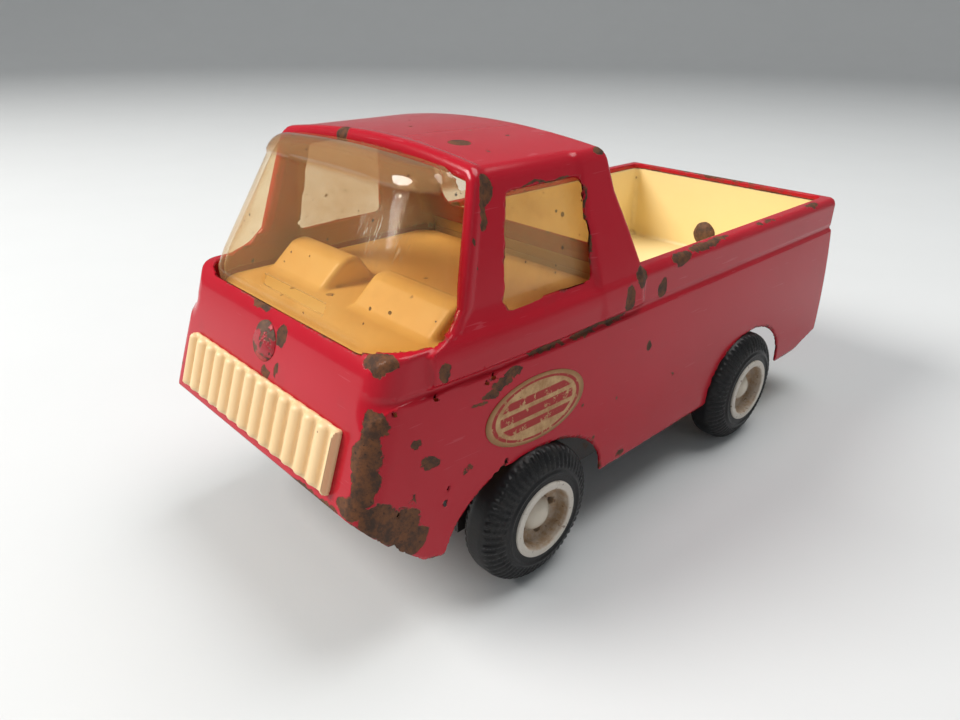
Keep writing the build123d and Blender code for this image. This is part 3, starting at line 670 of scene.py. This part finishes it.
def rusty_steel():
    """Brown rust with dark scabs and rubbed bright specks, and red paint left on the front rivet."""
    m = Material("rusty_steel_pitted")
    tone = m.mix(m.fade(m.noise(2.0, 7.0, 0.75), 0.3, 0.7), (0.050, 0.028, 0.020), (0.17, 0.075, 0.038))
    tone = m.mix(m.fade(m.noise(0.7, 4.0), 0.62, 0.72), tone, (0.28, 0.16, 0.10))
    paint = m.math("MULTIPLY", m.fade(m.noise(4.5, 4.0, 0.6), 0.50, 0.54), m.fade(m.axis("Y"), 0.0, -40.0))
    tone = m.mix(paint, tone, (0.42, 0.022, 0.034))
    height = m.math("ADD", m.noise(0.8, 6.0, 0.7), m.math("MULTIPLY", paint, 0.5))
    return m.finish(tone, m.blend(paint, 0.66, 0.26), height, 0.2, Metallic=0.1)


def bare_steel(name, light, dark, rust_share):
    """Dull steel with brush marks along X and rust in patches."""
    m = Material(name)
    brushed = m.noise(1.0, 3.0, 0.6, m.vector("MULTIPLY", m.place, (0.12, 2.2, 2.2)))
    tone = m.mix(brushed, dark, light)
    rust = m.math("MULTIPLY", m.fade(m.noise(6.0, 7.0, 0.75), 0.62 - rust_share, 0.74 - rust_share), 0.9)
    tone = m.mix(rust, tone, (0.13, 0.055, 0.026))
    return m.finish(tone, m.blend(rust, 0.34, 0.8), m.noise(0.9, 5.0), 0.06, soften=0.25, Metallic=0.6)


def paper_sticker():
    """Aged oval label: a worn red border line and a plain striped red field on tan paper."""
    m = Material("paper_sticker_aged")
    centre = (0.0, -DECAL_Y / DECAL_HALF_Y, -(DECAL_Z + DATUM) / DECAL_HALF_Z)
    node = m.add("ShaderNodeVectorMath", operation="MULTIPLY_ADD")
    m.feed(node.inputs[0], m.place)
    node.inputs[1].default_value = (0.0, 1 / DECAL_HALF_Y, 1 / DECAL_HALF_Z)
    node.inputs[2].default_value = centre
    split = m.add("ShaderNodeSeparateXYZ")
    m.feed(split.inputs[0], node.outputs["Vector"])
    up = m.math("ABSOLUTE", split.outputs["Z"])
    reach = m.vector("LENGTH", node.outputs["Vector"])
    border = m.fade(m.math("ABSOLUTE", m.math("SUBTRACT", reach, 0.86)), 0.045, 0.025)
    stripe = m.fade(m.math("ABSOLUTE", m.math("SUBTRACT", up, 0.20)), 0.05, 0.08)
    field = m.math("MULTIPLY", m.fade(up, 0.52, 0.48), m.fade(reach, 0.76, 0.72))
    field = m.math("MULTIPLY", field, stripe)
    kept = m.fade(m.noise(2.6, 6.0, 0.75), 0.40, 0.45)
    print_mask = m.math("MULTIPLY", m.any_of(border, field), kept)
    paper = m.mix(m.fade(m.noise(4.0, 7.0, 0.75), 0.3, 0.7), (0.36, 0.17, 0.060), (0.60, 0.38, 0.18))
    paper = m.mix(m.fade(reach, 0.82, 1.0), paper, (0.32, 0.15, 0.055))
    tone = m.mix(print_mask, paper, (0.36, 0.018, 0.016))
    tone = m.mix(m.math("MULTIPLY", m.specks(m.place, 1.6, 0.10), 0.8), tone, (0.09, 0.04, 0.02))
    return m.finish(tone, 0.62, m.noise(0.7, 6.0, 0.7), 0.07)


def pale_stage(name, colour):
    """Matt paper with a barely uneven tone."""
    m = Material(name)
    tone = tuple(0.96 * c for c in colour)
    return m.finish(m.mix(m.noise(60.0, 4.0), colour, tone), 0.85, m.noise(1.5, 3.0), 0.02)


# ---- pieces ----
def add_body(enamel):
    """The pressing, sampled more finely along Y where it curves."""
    axes = [np.arange(-47.9, 48.1, 0.72),
            spaced((-96.0, 0.6), (-58.0, 1.05), (-27.0, 0.62), (-10.0, 1.2), (87.0, 0.6), (96.2, 0.6)),
            np.arange(15.0, 98.0, 0.76)]
    piece = skin("body_shell_pressing", body_shell, axes, enamel, from_datum())
    standing_for(piece, "body_shell", "root")


def add_cab_and_bed(yellow):
    """Glazing, cab deck with its seats, and bed liner."""
    glass = skin("glazing_moulding", glazing, cubic((-37.5, -84.5, 60.5), (37.5, -13.0, 94.8), 0.62),
                 amber_glazing(), from_datum())
    standing_for(glass, "glazing", "root")
    deck = skin("cab_interior_moulding", cab_interior, cubic((-35.5, -82.0, 39.5), (35.5, -14.5, 67.0), 0.65),
                yellow, from_datum())
    standing_for(deck, "cab_interior", "root")
    tray = skin("bed_liner_tray", bed_liner, cubic((-37.5, -12.0, 35.5), (37.5, 94.0, 64.0), 0.7),
                yellow, from_datum())
    standing_for(tray, "bed_liner", "root")


def add_trim(cream, rust):
    """Grille, and the rivet heads on the front panel and the tailgate's inner face."""
    ribs = skin("grille_ribs", grille, cubic((-30.8, -6.9, -0.1), (30.8, 6.9, 2.4), 0.34), cream,
                on_front_panel(GRILLE_Z))
    standing_for(ribs, "grille", "root")
    head = cubic((-4.9, -4.9, -0.2), (4.9, 4.9, 1.8), 0.22)
    front = skin("front_rivet_head", rivet_head, head, rust, on_front_panel(RIVET_Z, RIVET_X))
    standing_for(front, "front_rivet", "root")
    x, z = REAR_RIVET
    place = Matrix.Translation((x * MM, (REAR_Y - 2.6) * MM, (z + DATUM) * MM))
    place = place @ Matrix.Rotation(math.radians(90), 4, "X") @ Matrix.Scale(MM, 4)
    rear = skin("rear_rivet_head", rivet_head, head, rust, place)
    standing_for(rear, "rear_rivet", "root")


def add_wheels():
    """Tyre, hub and axle cap at each corner, every kind sharing one mesh."""
    rubber, plastic, cap = tyre_rubber(), wheel_plastic(), cap_enamel()
    kinds = (("tyre", tyre, cubic((-5.9, -17.1, -17.1), (5.9, 17.1, 17.1), 0.42), rubber, "tyre_rubber"),
             ("hub", hub, cubic((-0.6, -9.6, -9.6), (12.0, 9.6, 9.6), 0.32), plastic, "white_plastic"),
             ("axle_cap", axle_cap, cubic((7.3, -4.7, -4.7), (11.0, 4.7, 4.7), 0.22), cap, "cap_steel"))
    for kind, field, axes, material, slot in kinds:
        first = skin(f"{kind}_pattern", field, axes, material, Matrix.Scale(MM, 4))
        for number, (end, side) in enumerate(CORNERS):
            low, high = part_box(f"{end}_{side}_tyre")
            outwards = 1 if side == "left" else -1
            inner_x = low.x if side == "left" else high.x
            from_x = (low.x + high.x) / 2 if kind == "tyre" else inner_x
            piece = bpy.data.objects.new(f"{end}_{side}_{kind}_piece", first.data)
            bpy.context.scene.collection.objects.link(piece)
            turn = Matrix.Rotation(math.radians(0 if outwards > 0 else 180), 4, "Z")
            spin = Matrix.Rotation(math.radians(90 * number), 4, "X")
            middle = (from_x, (low.y + high.y) / 2, (low.z + high.z) / 2)
            piece.matrix_world = Matrix.Translation(middle) @ turn @ spin
            body = f"{end}_axle" if kind == "axle_cap" else f"{end}_{side}_wheel"
            standing_for(piece, f"{end}_{side}_{kind}", body)
        bpy.data.objects.remove(first)


def body_x(y, z):
    """Outside of the body's left side at the points given."""
    x = np.full(y.shape, SIDE_X)
    for _ in range(20):
        x -= 0.8 * lower_side(x + narrowing(y), z)
    return x


def add_decals():
    """Oval labels that follow the body's curve."""
    paper = paper_sticker()
    rings, spokes = 14, 72
    r = np.linspace(0, 1, rings + 1)[1:, None]
    angle = np.linspace(0, math.tau, spokes, endpoint=False)[None, :]
    y = np.append((DECAL_Y + DECAL_HALF_Y * r * np.cos(angle)).ravel(), DECAL_Y)
    z = np.append((DECAL_Z + DECAL_HALF_Z * r * np.sin(angle)).ravel(), DECAL_Z)
    x = body_x(y, z)
    hub_point = rings * spokes
    faces = [(hub_point, i, (i + 1) % spokes) for i in range(spokes)]
    for ring in range(rings - 1):
        for i in range(spokes):
            a, b = ring * spokes + i, ring * spokes + (i + 1) % spokes
            faces.append((a, a + spokes, b + spokes, b))
    for side, sign in (("left", 1), ("right", -1)):
        points = np.stack([sign * (x + 0.03), y, z + DATUM], axis=1) * MM
        outward = faces if sign > 0 else [face[::-1] for face in faces]
        piece = new_piece(f"decal_{side}_label", points, outward, paper)
        solidify = piece.modifiers.new("thickness", "SOLIDIFY")
        solidify.thickness = 0.12 * MM
        solidify.offset = 1.0
        standing_for(piece, f"decal_{side}", "root")


def paint_nodes():
    """Materials for the CAD pieces that are seen as they are."""
    chassis = bare_steel("chassis_steel_dull", (0.075, 0.070, 0.066), (0.030, 0.028, 0.027), 0.10)
    plated = bare_steel("plated_steel_dull", (0.50, 0.47, 0.43), (0.30, 0.28, 0.26), 0.04)
    for node, material in (("chassis_plate", chassis), ("chassis_screws", plated),
                           ("front_axle", plated), ("rear_axle", plated)):
        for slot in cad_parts[node].material_slots:
            slot.material = material


# ---- stage, light and camera ----
def add_stage():
    """Pale floor that curves up into a surrounding backdrop."""
    profile = [(0.4, 0.0), (0.9, 0.0), (1.5, 0.0)]
    for step in range(1, 13):
        turn = math.radians(7.5 * step)
        profile.append((1.5 + 0.7 * math.sin(turn), 0.7 - 0.7 * math.cos(turn)))
    profile.append((2.2, 1.9))
    spokes = 96
    points = [(r * math.cos(math.tau * i / spokes), r * math.sin(math.tau * i / spokes), z)
              for r, z in profile for i in range(spokes)]
    faces = [tuple(range(spokes))]
    for ring in range(len(profile) - 1):
        for i in range(spokes):
            a, b = ring * spokes + i, ring * spokes + (i + 1) % spokes
            faces.append((a, a + spokes, b + spokes, b))
    new_piece("floor_and_backdrop", points, faces, pale_stage("pale_paper", (0.70, 0.72, 0.73)))


def add_light(name, place, target, size, power, colour):
    lamp = bpy.data.lights.new(name, "AREA")
    lamp.shape, lamp.size, lamp.energy, lamp.color = "DISK", size, power, colour
    light = bpy.data.objects.new(name, lamp)
    light.location = place
    light.rotation_euler = (Vector(place) - Vector(target)).to_track_quat("Z", "Y").to_euler()
    bpy.context.scene.collection.objects.link(light)


def add_lights():
    centre = (0.0, 0.0, 0.05)
    add_light("key", (-0.55, -0.75, 0.85), centre, 0.6, 15.0, (1.0, 0.97, 0.93))
    add_light("top", (0.10, 0.35, 1.1), centre, 0.8, 8.0, (1.0, 0.99, 0.97))
    add_light("fill", (1.0, -0.1, 0.5), centre, 0.9, 0.6, (0.97, 0.98, 1.0))
    world = bpy.data.worlds.new("studio")
    world.use_nodes = True
    background = world.node_tree.nodes["Background"]
    background.inputs["Color"].default_value = (0.80, 0.83, 0.86, 1.0)
    background.inputs["Strength"].default_value = 0.18
    bpy.context.scene.world = world
    bpy.context.scene.view_settings.view_transform = "Standard"


def add_camera():
    yaw, pitch, roll = (math.radians(angle) for angle in CAMERA_TURN)
    ahead = Vector((math.cos(yaw) * math.cos(pitch), math.sin(yaw) * math.cos(pitch), -math.sin(pitch)))
    right = Vector((math.sin(yaw), -math.cos(yaw), 0.0))
    down = ahead.cross(right)
    turned_right = math.cos(roll) * right + math.sin(roll) * down
    turned_down = math.cos(roll) * down - math.sin(roll) * right
    turn = Matrix((turned_right, -turned_down, -ahead)).transposed().to_4x4()
    lens = bpy.data.cameras.new("camera")
    lens.sensor_fit, lens.sensor_width, lens.lens = "HORIZONTAL", 36.0, CAMERA_LENS
    lens.clip_start, lens.clip_end = 0.005, 20.0
    camera = bpy.data.objects.new("camera", lens)
    camera.matrix_world = Matrix.Translation(CAMERA_PLACE) @ turn
    bpy.context.scene.collection.objects.link(camera)
    bpy.context.scene.camera = camera


yellow = moulded("yellow_plastic_aged", (0.95, 0.64, 0.22), (0.90, 0.56, 0.17), (0.95, 0.79, 0.42), 0.36)
cream = moulded("cream_plastic_aged", (0.95, 0.69, 0.39), (0.90, 0.63, 0.33), (0.95, 0.69, 0.39), 0.42)
add_camera()
add_stage()
add_lights()
add_body(red_enamel())
add_cab_and_bed(yellow)
add_trim(cream, rusty_steel())
add_wheels()
add_decals()
paint_nodes()
